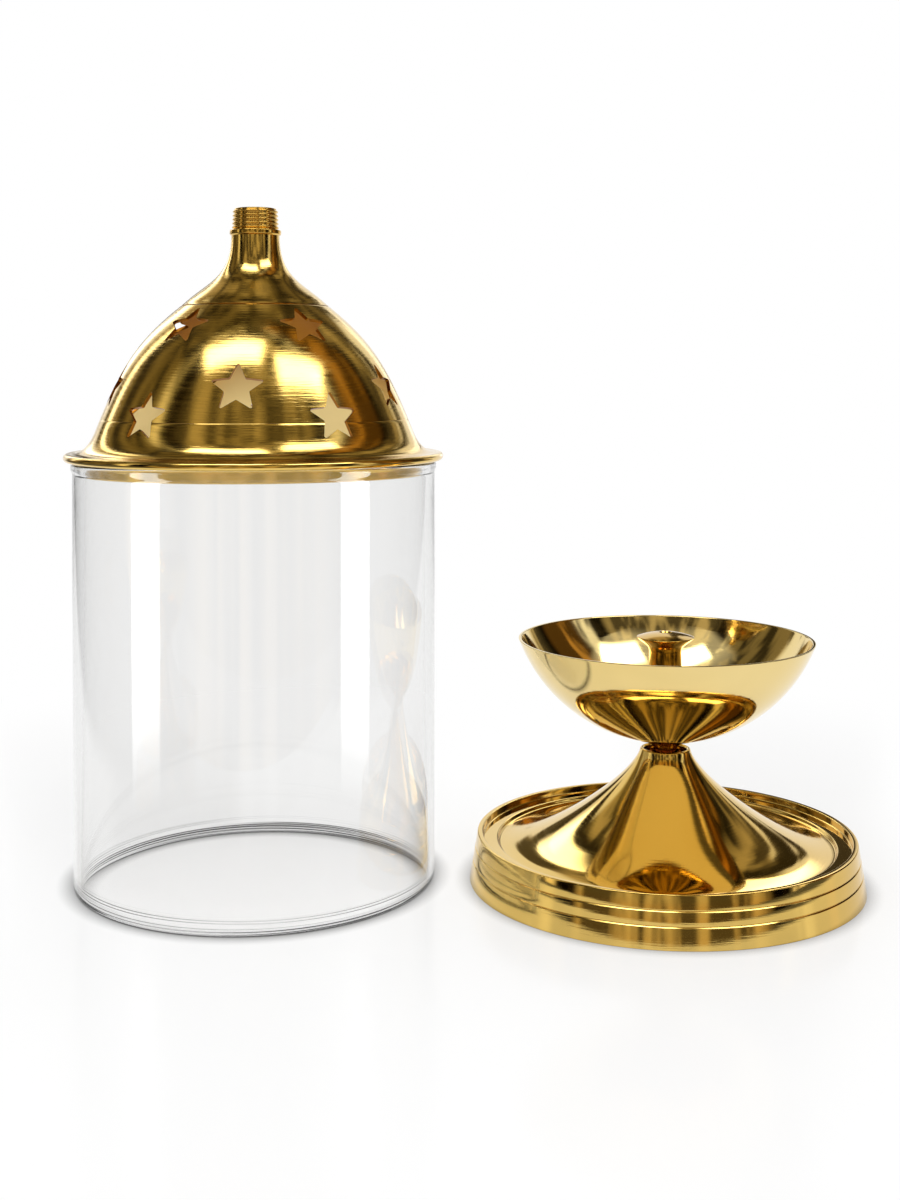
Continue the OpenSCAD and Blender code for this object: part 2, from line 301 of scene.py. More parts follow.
def scored(outline, height, depth, half_width):
    """A falling outline with a fine line turned into it at a height."""
    made = []
    for (r0, z0), (r1, z1) in zip(outline, outline[1:]):
        made.append((r0, z0))
        for z, cut in ((height + half_width, 0), (height, depth), (height - half_width, 0)):
            if z1 < z <= z0:
                made.append((r0 + (r1 - r0) * (z0 - z) / (z0 - z1) - cut, z - cut))
    return sorted(made + [outline[-1]], key=lambda p: -p[1])


def colour(hex_code):
    """An sRGB hex value as linear red, green, blue and alpha."""
    parts = [int(hex_code[i:i + 2], 16) / 255 for i in (1, 3, 5)]
    linear = [c / 12.92 if c <= 0.04045 else ((c + 0.055) / 1.055) ** 2.4 for c in parts]
    return (*linear, 1.0)


def add(tree, kind, inputs=None, **settings):
    """Adds a node to a tree, with its settings, and sets or links its inputs."""
    made = tree.nodes.new(kind)
    for key, value in settings.items():
        setattr(made, key, value)
    for key, value in (inputs or {}).items():
        if isinstance(value, bpy.types.NodeSocket):
            tree.links.new(value, made.inputs[key])
        else:
            made.inputs[key].default_value = value
    return made


def maths(tree, operation, *values, **settings):
    """The result of a sum on numbers or sockets."""
    return add(tree, "ShaderNodeMath", dict(enumerate(values)), operation=operation, **settings).outputs["Value"]


def ranged(tree, value, start, stop, first=0.0, last=1.0, **settings):
    """A value carried from one range to another, and held at its ends."""
    return add(tree, "ShaderNodeMapRange", {
        "Value": value, "From Min": start, "From Max": stop, "To Min": first, "To Max": last,
    }, **settings).outputs["Result"]


def noise(tree, place, stretch, **inputs):
    """Noise over a place, with its number of waves a metre along X, Y and Z."""
    spread = add(tree, "ShaderNodeVectorMath", {0: place, 1: stretch}, operation="MULTIPLY")
    return add(tree, "ShaderNodeTexNoise", {
        "Vector": spread.outputs["Vector"], "Scale": 1.0, **inputs}).outputs["Fac"]


def blend(tree, factor, first, last, **settings):
    """Two colours mixed by a factor."""
    return add(tree, "ShaderNodeMix", {
        "Factor": factor, "A": first, "B": last}, data_type="RGBA", **settings).outputs["Result"]


def mixed(tree, factor, first, last):
    """Two surfaces mixed by a factor."""
    return add(tree, "ShaderNodeMixShader", {"Fac": factor, 1: first, 2: last}).outputs["Shader"]


def glow(tree, strength, tone=colour("#FFFFFF")):
    """Light given off by a surface, white unless a tone is given."""
    return add(tree, "ShaderNodeEmission", {"Color": tone, "Strength": strength}).outputs["Emission"]


def new_material(name):
    """An empty node material and its tree."""
    made = bpy.data.materials.new(name)
    made.use_nodes = True
    made.node_tree.nodes.clear()
    return made, made.node_tree


# Lathe marks, in waves a metre: how often a ring breaks off round the axis, and how slowly the tone drifts
RING_BREAKS = 70
TONE_DRIFT = 28
# Roughness of the inside left by the spinning roller, and of the sheared star edges
SATIN_INSIDE = 0.28
SHEARED_EDGE = 0.3
# Heights above the flange, in millimetres, between which painted shade takes the inside of the dome over to its
# deeper tone
PAINTED_SHADE_FROM = 14.0
PAINTED_SHADE_TO = 34.0


def brass(name, axis, lean, tone, deep_tone, rough, line_mm, line_depth_mm, punched=None):
    """Brass worked on a lathe and buffed.

    The buff leaves a mirror, and the tool leaves fine broken rings round the axis that draw the
    highlights out along them. The tone drifts a little where the lacquer is thicker. lean says how
    much of the radius joins the height in counting the rings, so that they stay even on a slope.
    A punched shell has two more tones. Its inside is left paler and satin by the spinning roller, with painted
    shade that deepens its tone higher up, and its sheared star edges are duller and take the deep tone as painted
    shade.
    """
    made, tree = new_material(name)
    place = add(tree, "ShaderNodeTexCoord")
    centred = add(tree, "ShaderNodeMapping", {
        "Vector": place.outputs["Object"],
        "Location": (-axis[0] * MM, -axis[1] * MM, 0),
    }).outputs["Vector"]
    x, y, z = add(tree, "ShaderNodeSeparateXYZ", {"Vector": centred}).outputs
    flat = add(tree, "ShaderNodeCombineXYZ", {"X": x, "Y": y})
    radius = add(tree, "ShaderNodeVectorMath", {0: flat.outputs["Vector"]}, operation="LENGTH")
    ring = maths(tree, "MULTIPLY_ADD", radius.outputs["Value"], lean, z)
    streak = add(tree, "ShaderNodeCombineXYZ", {"X": x, "Y": y, "Z": ring})
    # Rings are drawn at twice the real pitch or more, so that they show from where the camera stands
    rings = noise(tree, streak.outputs["Vector"], (RING_BREAKS, RING_BREAKS, 1 / (line_mm * MM)),
                  Detail=3.0, Roughness=0.6)
    drift = noise(tree, centred, (TONE_DRIFT, TONE_DRIFT, TONE_DRIFT), Detail=2.0)
    tint = blend(tree, drift, colour(tone), colour(deep_tone))
    gloss = ranged(tree, rings, 0.3, 0.7, rough * 0.6, rough * 1.5)
    if punched:
        pale, painted_shade_tone = (colour(shade) for shade in punched)
        inside, cut = (add(tree, "ShaderNodeAttribute", attribute_name=mark).outputs["Fac"]
                       for mark in ("inside", "cut"))
        # Painted shade: the inside goes over from the pale tone to the deep tone higher up, away from the light that
        # comes in from below
        painted_shade_upward = ranged(tree, z, (FLANGE_Z + PAINTED_SHADE_FROM) * MM, (FLANGE_Z + PAINTED_SHADE_TO) * MM)
        tint = blend(tree, inside, tint, blend(tree, painted_shade_upward, pale, painted_shade_tone))
        # Painted shade: the star edges take the deep tone all over
        tint = blend(tree, cut, tint, painted_shade_tone)
        gloss = ranged(tree, inside, 0, 1, gloss, SATIN_INSIDE)
        gloss = ranged(tree, cut, 0, 1, gloss, SHEARED_EDGE)
    relief = add(tree, "ShaderNodeBump", {"Strength": 0.5, "Distance": line_depth_mm * MM, "Height": rings})
    # The rings lie across the radius, so the sheen spreads up and down and stays tight round the axis
    along = add(tree, "ShaderNodeCombineXYZ", {"X": maths(tree, "MULTIPLY", y, -1.0), "Y": x})
    grain = add(tree, "ShaderNodeVectorMath", {0: along.outputs["Vector"]}, operation="NORMALIZE")
    surface = add(tree, "ShaderNodeBsdfPrincipled", {
        "Base Color": tint, "Metallic": 1.0, "Anisotropic": 0.6, "Roughness": gloss,
        "Normal": relief.outputs["Normal"], "Tangent": grain.outputs["Vector"]})
    add(tree, "ShaderNodeOutputMaterial", {"Surface": surface.outputs["BSDF"]})
    return made


# The tube: waves a metre of its draw lines and of the rings of painted shade in its foot, heights in millimetres
# between
# # which those painted rings end, and how far its grey goes
DRAW_LINES = (90, 90, 4)
FOOT_PAINTED_SHADE_WAVES = (6, 6, 2000)
FOOT_PAINTED_SHADE_FROM = 3.4
FOOT_PAINTED_SHADE_TO = 4.6
GLASS_GREY = "#D8D8D6"
GLASS_DENSITY = 56.0


def borosilicate():
    """Drawn borosilicate tube.

    It is clear and smooth, with faint upright draw lines and a grey depth at its edges. The foot was melted smooth,
    and fine grey rings of painted shade in its colour stand for the dark lines that the foot shows as it bends light.
    """
    made, tree = new_material("drawn_borosilicate_glass")
    place = add(tree, "ShaderNodeTexCoord").outputs["Object"]
    lines = noise(tree, place, DRAW_LINES, Detail=2.0)
    relief = add(tree, "ShaderNodeBump", {"Strength": 0.08, "Distance": 0.02 * MM, "Height": lines})
    height = add(tree, "ShaderNodeSeparateXYZ", {"Vector": place}).outputs["Z"]
    # Painted shade: fine grey rings in the colour of the foot, for the dark lines that the foot shows as it bends
    # light
    painted_foot_shade = ranged(tree, noise(tree, place, FOOT_PAINTED_SHADE_WAVES, Detail=1.0), 0.4, 0.49, 0.02, 1.0)
    above = ranged(tree, height, FOOT_PAINTED_SHADE_FROM * MM, FOOT_PAINTED_SHADE_TO * MM)
    surface = add(tree, "ShaderNodeBsdfPrincipled", {
        "Base Color": maths(tree, "MAXIMUM", painted_foot_shade, above), "Roughness": 0.0, "IOR": 1.47,
        "Transmission Weight": 1.0, "Normal": relief.outputs["Normal"]})
    # Light goes straight through to what the tube would shade
    path = add(tree, "ShaderNodeLightPath")
    clear = add(tree, "ShaderNodeBsdfTransparent", {"Color": colour("#F4F4F4")})
    lit = mixed(tree, path.outputs["Is Shadow Ray"], surface.outputs["BSDF"], clear.outputs["BSDF"])
    depth = add(tree, "ShaderNodeVolumeAbsorption", {"Color": colour(GLASS_GREY), "Density": GLASS_DENSITY})
    add(tree, "ShaderNodeOutputMaterial", {"Surface": lit, "Volume": depth.outputs["Volume"]})
    return made


# The punched tones: the pale inside, and the deep tone, which is painted shade high up inside and on the star edges
SPUN_LID = brass("polished_spun_brass_lid", CHIMNEY_AXIS, -0.6, "#E9C976", "#DDB55A", 0.1, 0.5, 0.05,
                 punched=("#E6CB8C", "#9A6420"))
SPUN_PEDESTAL = brass(
    "polished_spun_brass_pedestal", PEDESTAL_AXIS, -0.6, "#E9C976", "#DDB55A", 0.06, 0.5, 0.01)
SPUN_BOWL = brass("polished_spun_brass_bowl", PEDESTAL_AXIS, 0.6, "#F0DA9E", "#E6C87C", 0.06, 0.5, 0.008)
TURNED_LID = brass("turned_brass_lid", CHIMNEY_AXIS, 0.2, "#E3BD66", "#D3A748", 0.1, 0.3, 0.006)
TURNED_PEDESTAL = brass("turned_brass_pedestal", PEDESTAL_AXIS, 0.2, "#E3BD66", "#D3A748", 0.1, 0.3, 0.006)
GLASS = borosilicate()


def finish(piece, material, body, node):
    """Gives a piece its material, and puts it on its body in place of its node."""
    piece.data.materials.clear()
    piece.data.materials.append(material)
    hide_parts(node)
    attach(piece, body)
    return piece


def make_pedestal():
    """Spun shell: leaning wall with turned lines, rim with the chimney seat, tray and trumpet cone.

    The cone ends in a rolled mouth.
    """
    taper = (FOOT_R - RIM_R) / RIM_H
    wall = [(FOOT_R, 0, 0)]
    for h in (LOWER_LINE_H, UPPER_LINE_H):
        wall += [(FOOT_R - taper * (h - LINE_W / 2), h - LINE_W / 2, 0.1),
                 (FOOT_R - taper * h - LINE_DEPTH, h, 0.1),
                 (FOOT_R - taper * (h + LINE_W / 2), h + LINE_W / 2, 0.1)]
    wall = eased(wall + [
        (RIM_R, RIM_H, 0.35),
        (SEAT_R, RIM_H, 0.35),
        (SEAT_R, SEAT_Z, 0.5),
        (TRAY_R + EDGE_CUT, SEAT_Z, 0.4),
        (TRAY_R, TRAY_Z, 0.5),
        bezier(CONE_CURVE, CONE_END) + (0,),
    ], steps=6)
    cone = curve(CONE_CURVE, 90, stop=CONE_END)
    lip = arc(MOUTH_R - LIP_R, MOUTH_H - LIP_R, LIP_R, 0, 180, 10)
    under = curve(CONE_CURVE, 60, PEDESTAL_T, 0.01)
    skirt = [(TRAY_R + EDGE_CUT, TRAY_Z - PEDESTAL_T), (SEAT_R - FINE_CUT, SEAT_Z - PEDESTAL_T),
             (FOOT_R - PEDESTAL_T - FINE_CUT, 0)]
    return turned("pedestal_shell", wall[:-1] + cone[::-1] + lip[1:] + under[1:] + skirt, PEDESTAL_AXIS)


BUSH_FLANK = curve(CONE_CURVE, 14, PEDESTAL_T + SEAT_FIT, 0.13, 0.24)
BUSH_TOP_Z = BUSH_FLANK[0][1]
SHOULDER_TOP_Z = BUSH_TOP_Z + SHOULDER_T


def make_neck_bush():
    """Tapered bush soldered up inside the neck of the cone."""
    bore = STUD_R + THREAD_FIT
    low_z = BUSH_TOP_Z - BUSH_H
    outline = [(bore, BUSH_TOP_Z)] + BUSH_FLANK + [(BUSH_FLANK[-1][0], low_z), (bore, low_z)]
    return turned("neck_bush_turning", outline, PEDESTAL_AXIS)


def sphere_height(radius, r):
    """Height of the lower half of a sphere about the middle of the bowl."""
    return BOWL_CENTRE_Z - math.sqrt(radius ** 2 - r ** 2)


STEM_FOOT_Z = sphere_height(BOWL_SPHERE_R - BOWL_T, STEM_R) + SEAT_FIT
SOCKET_TOP_Z = STEM_FOOT_Z + SOCKET_DEPTH + SEAT_FIT


def make_bowl():
    """Spun cap of a sphere with a thin eased rim and a hole for the stud."""
    inside_r = BOWL_SPHERE_R - BOWL_T
    hole_r = STUD_R + SEAT_FIT
    outside = arc(0, BOWL_CENTRE_Z, BOWL_SPHERE_R,
                  math.degrees(math.asin(hole_r / BOWL_SPHERE_R)) - 90,
                  math.degrees(math.asin(BOWL_R / BOWL_SPHERE_R)) - 90, 96)
    inside = arc(0, BOWL_CENTRE_Z, inside_r,
                 math.degrees(math.acos((BOWL_CENTRE_Z - BOWL_RIM_Z) / inside_r)) - 90,
                 math.degrees(math.asin(hole_r / inside_r)) - 90, 96)
    rim = eased([outside[-2] + (0,), outside[-1] + (0.25,), inside[0] + (0.25,), inside[1] + (0,)])
    return turned("oil_bowl_shell", outside[:-2] + rim + inside[2:], PEDESTAL_AXIS)


def make_bowl_foot():
    """Turned foot under the bowl: stud, shoulder ring, waist and upper stud."""
    under_z = sphere_height(BOWL_SPHERE_R, SHOULDER_R) - SEAT_FIT
    low_z = BUSH_TOP_Z - STUD_LEN
    top_z = STEM_FOOT_Z + SOCKET_DEPTH
    return turned("bowl_foot_turning", eased([
        (0, low_z, 0),
        (STUD_R - EDGE_CUT, low_z, 0),
        (STUD_R, low_z + EDGE_CUT, 0),
        (STUD_R, BUSH_TOP_Z, 0),
        (SHOULDER_R, BUSH_TOP_Z, 0.2),
        (SHOULDER_R, SHOULDER_TOP_Z, 0.35),
        (WAIST_R, SHOULDER_TOP_Z + EDGE_CUT, 0.3),
        (WAIST_R, under_z - FINE_CUT - WAIST_CONE_H, 0.4),
        (SHOULDER_R, under_z - FINE_CUT, 0),
        (SHOULDER_R, under_z, 0),
        (STUD_R, sphere_height(BOWL_SPHERE_R, STUD_R) - SEAT_FIT, 0),
        (STUD_R, top_z - EDGE_CUT, 0),
        (STUD_R - EDGE_CUT, top_z, 0),
        (0, top_z, 0),
    ]), PEDESTAL_AXIS)


def make_wick_holder():
    """Turned stem with a mushroom head, a wick bore and a cross hole for the oil."""
    crown_r = (HEAD_R ** 2 + HEAD_CROWN ** 2) / (2 * HEAD_CROWN)
    crown_z = HEAD_Z + HEAD_CROWN - crown_r
    socket_r = STUD_R + THREAD_FIT
    crown = arc(0, crown_z, crown_r, 90 - math.degrees(math.asin(HEAD_R / crown_r)),
                90 - math.degrees(math.asin((WICK_BORE_R + 0.3) / crown_r)), 24)
    edge = eased([
        (STEM_R, HEAD_Z - HEAD_UNDER - 4, 0),
        (STEM_R, HEAD_Z - HEAD_UNDER, 1.2),
        (HEAD_R - 0.5, HEAD_Z - 0.5, 0.5),
        crown[0] + (0.4,),
        crown[2] + (0,),
    ], steps=6)
    stem = [(socket_r, STEM_FOOT_Z), (STEM_R, STEM_FOOT_Z)]
    bores = [(WICK_BORE_R, crown_z + crown_r - 0.5), (WICK_BORE_R, SOCKET_TOP_Z), (socket_r, SOCKET_TOP_Z)]
    holder = turned("wick_holder_turning", stem + edge + crown[3:] + bores, PEDESTAL_AXIS)
    return drilled(holder, OIL_PORT_R, SOCKET_TOP_Z + OIL_PORT_R + 1)


def make_chimney():
    """Open glass tube with fire-polished ends and a bead round the top."""
    inner_r = GLASS_R - GLASS_T
    bead_r = GLASS_R + BEAD_OUT
    bead = eased([
        (GLASS_R, GLASS_H - BEAD_H - 8, 0),
        (GLASS_R, GLASS_H - BEAD_H, 1.0),
        (bead_r, GLASS_H - BEAD_H + 1, 0.6),
        (bead_r, GLASS_H - POLISH_R, 0),
    ], steps=8)
    outline = arc(GLASS_R - POLISH_R, POLISH_R, POLISH_R, -90, 0, 10) + bead
    outline += arc(bead_r - POLISH_R, GLASS_H - POLISH_R, POLISH_R, 0, 90, 10)[1:]
    outline += arc(inner_r + POLISH_R, GLASS_H - POLISH_R, POLISH_R, 90, 180, 10)
    outline += arc(inner_r + POLISH_R, POLISH_R, POLISH_R, 180, 270, 10)
    return turned("glass_tube", outline, CHIMNEY_AXIS)


def dome_place(height):
    """Where the outside of the dome is at a height: radius, and how far its normal leans up, in radians."""
    low, high = 0.0, 1.0
    for _ in range(24):
        half = (low + high) / 2
        if bezier(DOME_CURVE, half)[1] > height:
            low = half
        else:
            high = half
    n = bezier_normal(DOME_CURVE, low)
    return bezier(DOME_CURVE, low)[0], math.atan2(-n[1], -n[0])


def star_tree(material):
    """Geometry nodes that punch rows of stars through a shell, square to its surface."""
    tree = bpy.data.node_groups.new("star_pierced_shell", "GeometryNodeTree")
    face = tree.interface
    face.new_socket("Geometry", in_out="INPUT", socket_type="NodeSocketGeometry")
    sizes = ["Star radius", "Star waist", "Tip radius", "Punch depth", "Axis X", "Axis Y"]
    for row, _, _ in STAR_ROWS:
        sizes += [row + " radius", row + " height", row + " lean", row + " turn"]
    for name in sizes:
        face.new_socket(name, in_out="INPUT", socket_type="NodeSocketFloat")
    face.new_socket("Stars per row", in_out="INPUT", socket_type="NodeSocketInt")
    face.new_socket("Geometry", in_out="OUTPUT", socket_type="NodeSocketGeometry")
    given = add(tree, "NodeGroupInput").outputs

    star = add(tree, "GeometryNodeCurveStar", {
        "Points": 5, "Inner Radius": given["Star waist"], "Outer Radius": given["Star radius"]})
    eased_star = add(tree, "GeometryNodeFilletCurve", {
        "Curve": star.outputs["Curve"], "Radius": given["Tip radius"],
        "Limit Radius": True, "Count": 3}, mode="POLY")
    lid = add(tree, "GeometryNodeFillCurve", {"Curve": eased_star.outputs["Curve"]}, mode="NGONS")
    post = add(tree, "GeometryNodeExtrudeMesh", {
        "Mesh": lid.outputs["Mesh"], "Offset Scale": given["Punch depth"]})
    floor = add(tree, "GeometryNodeFlipFaces", {"Mesh": lid.outputs["Mesh"]})
    both = add(tree, "GeometryNodeJoinGeometry")
    tree.links.new(post.outputs["Mesh"], both.inputs["Geometry"])
    tree.links.new(floor.outputs["Mesh"], both.inputs["Geometry"])
    solid = add(tree, "GeometryNodeMergeByDistance", {
        "Geometry": both.outputs["Geometry"], "Distance": SAME_POINT})
    down = add(tree, "ShaderNodeCombineXYZ", {"Z": maths(tree, "MULTIPLY", given["Punch depth"], -0.5)})
    punch = add(tree, "GeometryNodeTransform", {
        "Geometry": solid.outputs["Geometry"], "Translation": down.outputs["Vector"],
        "Rotation": (0, 0, math.pi / 2)})

    punches = add(tree, "GeometryNodeJoinGeometry")
    for row, _, _ in STAR_ROWS:
        ring = add(tree, "GeometryNodeMeshCircle", {
            "Vertices": given["Stars per row"], "Radius": given[row + " radius"]})
        spot = add(tree, "ShaderNodeCombineXYZ", {
            "X": given["Axis X"], "Y": given["Axis Y"], "Z": given[row + " height"]})
        spin = add(tree, "ShaderNodeCombineXYZ", {"Z": given[row + " turn"]})
        where = add(tree, "GeometryNodeInputPosition")
        parts = add(tree, "ShaderNodeSeparateXYZ", {"Vector": where.outputs["Position"]})
        bearing = maths(tree, "ARCTAN2", parts.outputs["Y"], parts.outputs["X"])
        facing = maths(tree, "ADD", bearing, math.pi / 2)
        rise = maths(tree, "SUBTRACT", math.pi / 2, given[row + " lean"])
        angles = add(tree, "ShaderNodeCombineXYZ", {"X": rise, "Z": facing})
        turn = add(tree, "FunctionNodeEulerToRotation", {"Euler": angles.outputs["Vector"]})
        set_out = add(tree, "GeometryNodeInstanceOnPoints", {
            "Points": ring.outputs["Mesh"], "Instance": punch.outputs["Geometry"],
            "Rotation": turn.outputs["Rotation"]})
        row_at = add(tree, "GeometryNodeTransform", {
            "Geometry": set_out.outputs["Instances"], "Translation": spot.outputs["Vector"],
            "Rotation": spin.outputs["Vector"]})
        tree.links.new(row_at.outputs["Geometry"], punches.inputs["Geometry"])
    real = add(tree, "GeometryNodeRealizeInstances", {"Geometry": punches.outputs["Geometry"]})
    pierced = add(tree, "GeometryNodeMeshBoolean", {
        "Mesh 1": given["Geometry"], "Mesh 2": real.outputs["Geometry"],
    }, operation="DIFFERENCE", solver="EXACT")
    plain = add(tree, "GeometryNodeRealizeInstances", {"Geometry": pierced.outputs["Mesh"]})
    coated = add(tree, "GeometryNodeSetMaterial", {"Geometry": plain.outputs["Geometry"], "Material": material})
    add(tree, "NodeGroupOutput", {"Geometry": coated.outputs["Geometry"]})
    return tree


def make_dome(material):
    """Spun ogee dome with a rolled flange, pierced by three staggered rows of stars."""
    edge = FLANGE_T / 2
    flat_in_r = COLLAR_R - COLLAR_T - SEAT_FIT
    outline = curve(NECK_CURVE, 40) + curve(DOME_CURVE, 72)[1:] + curve(FLARE_CURVE, 30)[1:]
    for line in DOME_LINES:
        outline = scored(outline, *line)
    outline += arc(FLANGE_R - edge, edge, edge, 90, -90, 16)
    outline += [(flat_in_r, 0), (flat_in_r, EDGE_CUT)]
    outline += curve(FLARE_CURVE, 8, DOME_T, 0, 0.3)[::-1] + curve(DOME_CURVE, 72, DOME_T)[::-1][1:]
    outline += curve(NECK_CURVE, 40, DOME_T)[::-1][1:]
    shell = turned("lid_dome_pierced", outline, CHIMNEY_AXIS, FLANGE_Z)
    tree = star_tree(material)
    punch = shell.modifiers.new("stars", "NODES")
    punch.node_group = tree
    sizes = {
        "Star radius": STAR_R * MM, "Star waist": STAR_INNER_R * MM, "Tip radius": STAR_TIP_R * MM,
        "Punch depth": PUNCH_DEPTH * MM, "Axis X": CHIMNEY_X * MM, "Axis Y": CHIMNEY_Y * MM,
        "Stars per row": STARS_PER_ROW,
    }
    step = 2 * math.pi / STARS_PER_ROW
    for row, height, turn in STAR_ROWS:
        radius, lean = dome_place(height)
        sizes[row + " radius"] = radius * MM
        sizes[row + " height"] = (FLANGE_Z + height) * MM
        sizes[row + " lean"] = lean
        sizes[row + " turn"] = turn * step - math.pi / 2
    for item in tree.interface.items_tree:
        if item.in_out == "INPUT" and item.name in sizes:
            punch[item.identifier] = sizes[item.name]
    dome = baked(shell, punch)
    mesh = bmesh.new()
    mesh.from_mesh(dome.data)
    sharp = [e for e in mesh.edges if len(e.link_faces) == 2 and e.calc_face_angle() > 1.0
             and STARS_FROM < e.verts[0].co.z < STARS_TO]
    bmesh.ops.bevel(mesh, geom=sharp, offset=STAR_EDGE * MM, segments=2, profile=0.5,
                    affect="EDGES", clamp_overlap=True)
    bmesh.ops.remove_doubles(mesh, verts=mesh.verts, dist=SAME_POINT)
    bmesh.ops.recalc_face_normals(mesh, faces=mesh.faces)
    mesh.to_mesh(dome.data)
    mesh.free()
    # Marks for the material: the inside of the shell, which gets painted shade higher up, and the sheared edges of
    # the stars, which get painted shade all over
    inside = [0.0] * len(dome.data.polygons)
    cut = list(inside)
    for k, face in enumerate(dome.data.polygons):
        out = Vector((face.center.x - CHIMNEY_X * MM, face.center.y - CHIMNEY_Y * MM, 0)).normalized()
        away, up = face.normal.dot(out), face.normal.z
        sideways = abs(face.normal.x * out.y - face.normal.y * out.x)
        pierced = STARS_FROM < face.center.z < STARS_TO
        if pierced and (sideways > 0.55 or away * up < -0.1):
            cut[k] = 1.0
        elif away < -0.2:
            inside[k] = 1.0
    for name, marks in (("inside", inside), ("cut", cut)):
        dome.data.attributes.new(name, "FLOAT", "FACE").data.foreach_set("value", marks)
    smoothed(dome.data)
    return dome


def make_collar():
    """Ring under the flange that locates the lid in the glass."""
    inner = COLLAR_R - COLLAR_T
    return turned("lid_collar_ring", eased([
        (inner, 0, 0),
        (inner, -COLLAR_H, 0.3),
        (COLLAR_R - EDGE_CUT, -COLLAR_H, 0.3),
        (COLLAR_R, EDGE_CUT - COLLAR_H, 0.2),
        (COLLAR_R, 0, 0),
    ]), CHIMNEY_AXIS, FLANGE_Z)


def make_spigot():
    """Turned spigot in the neck of the dome, with a shoulder ring and ridges."""
    plug_r = NECK_R - DOME_T - SEAT_FIT
    ring_r = NECK_R + SPIGOT_RING_OUT
    base_r = NECK_R - FINE_CUT
    body_z = DOME_H + SPIGOT_RING_H
    pitch = (SPIGOT_H - SPIGOT_RING_H) / (RIDGES + 0.5)
    slope = (SPIGOT_TOP_R - base_r) / (SPIGOT_H - SPIGOT_RING_H)
    corners = [
        (0, DOME_H - SPIGOT_PLUG, 0),
        (plug_r, DOME_H - SPIGOT_PLUG, 0),
        (plug_r, DOME_H, 0),
        (NECK_R, DOME_H, 0.1),
        (ring_r, DOME_H + EDGE_CUT, 0.3),
        (ring_r, body_z - FINE_CUT, 0.3),
        (ring_r - FINE_CUT, body_z, 0.2),
    ]
    for k in range(RIDGES):
        z = k * pitch
        r = base_r + slope * z
        corners += [(r - RIDGE_DEPTH, body_z + z, 0.1), (r - RIDGE_DEPTH, body_z + z + 0.3 * pitch, 0.15),
                    (r, body_z + z + 0.5 * pitch, 0.2), (r, body_z + z + 0.8 * pitch, 0.2)]
    top = DOME_H + SPIGOT_H
    corners += [(SPIGOT_TOP_R - RIDGE_DEPTH, body_z + RIDGES * pitch, 0.1),
                (SPIGOT_TOP_R - RIDGE_DEPTH, top - FINE_CUT, 0.2),
                (SPIGOT_TOP_R - RIDGE_DEPTH - FINE_CUT, top, 0.2),
                (0, top, 0)]
    return turned("lid_spigot_turning", eased(corners), CHIMNEY_AXIS, FLANGE_Z)


pedestal = finish(make_pedestal(), SPUN_PEDESTAL, "pedestal_body", "pedestal")
neck_bush = finish(make_neck_bush(), TURNED_PEDESTAL, "pedestal_body", "neck_bush")
oil_bowl = finish(make_bowl(), SPUN_BOWL, "bowl_body", "oil_bowl")
bowl_foot = finish(make_bowl_foot(), TURNED_PEDESTAL, "bowl_body", "bowl_foot")
wick_holder = finish(make_wick_holder(), TURNED_PEDESTAL, "wick_body", "wick_holder")
glass_chimney = finish(make_chimney(), GLASS, "chimney_body", "glass_chimney")
lid_dome = finish(make_dome(SPUN_LID), SPUN_LID, "lid_body", "lid_dome")
lid_collar = finish(make_collar(), SPUN_LID, "lid_body", "lid_collar")
lid_spigot = finish(make_spigot(), TURNED_LID, "lid_body", "lid_spigot")


# Camera: a 46 mm lens, level with the lid. Lengths are in millimetres, the pitch in degrees down, and the rest in
# pixels of the 900 by 1200 frame
IMAGE_LONG_SIDE = 1200
FOCAL_PX = 1537
CAMERA_AWAY = 429.6
CAMERA_HEIGHT = 141.1
CAMERA_X = -3.6
PITCH = 0.83
AXIS_ROW_PX = 392

lens = bpy.data.cameras.new("camera")
lens.sensor_width = 36
lens.lens = FOCAL_PX / IMAGE_LONG_SIDE * lens.sensor_width
lens.shift_y = (AXIS_ROW_PX - IMAGE_LONG_SIDE / 2) / IMAGE_LONG_SIDE
lens.clip_start = 0.01
camera = bpy.data.objects.new("camera", lens)
camera.location = (CAMERA_X * MM, (CHIMNEY_Y - CAMERA_AWAY) * MM, CAMERA_HEIGHT * MM)
camera.rotation_euler = (math.radians(90 - PITCH), 0, 0)
bpy.context.collection.objects.link(camera)
bpy.context.scene.camera = camera


# Sizes of the studio, in metres
FLOOR_SIDE = 3.0
FLOOR_FRONT = -0.18
FLOOR_BACK = 4.0
FLOOR_Z = -0.05 * MM
CONTACT_SHADOW = 5 * MM
WALL_R = 1.7
WALL_LOW = -0.8
WALL_TOP = 1.9
# For the metal, the white floor ends this far out at each side, and a little further out towards the back
FLOOR_EDGE = 0.22
FLOOR_EDGE_FADE = 0.04
FLOOR_EDGE_SLANT = 0.5
# Round the object the floor is part sheet and part plain white, and further out it is all plain white
PLAIN_FROM = 0.1
PLAIN_TO = 0.3
PLAIN_NEAR = 0.6
# Level of the ambient light
AMBIENT = 0.85
# Folds in the walls, in waves a metre
FOLDS = (3, 3, 0.6)
# The sheet at the back: it starts this far behind, ends at this height, and is whole under the third
SHEET_BACK = 1.22
SHEET_TOP = 1.3
SHEET_WHOLE = 0.3
SHEET_FADE = 0.1
# A look through the tube crosses its surfaces four times, one through its wall alone twice
CROSSED_WALL = 2.5
# How much of the room shows in metal behind the glass
ROOM_BEHIND_GLASS = 0.55
WARM_FLOOR_GLOW = (1.0, 0.85, 0.68, 1)
NO_TINT = (1, 1, 1, 1)
WHITE, PALE, MID, DIM, DARK = "#FFFFFF", "#F3EBD2", "#BFB08C", "#7C7052", "#221C12"
AMBER = "#B98A45"
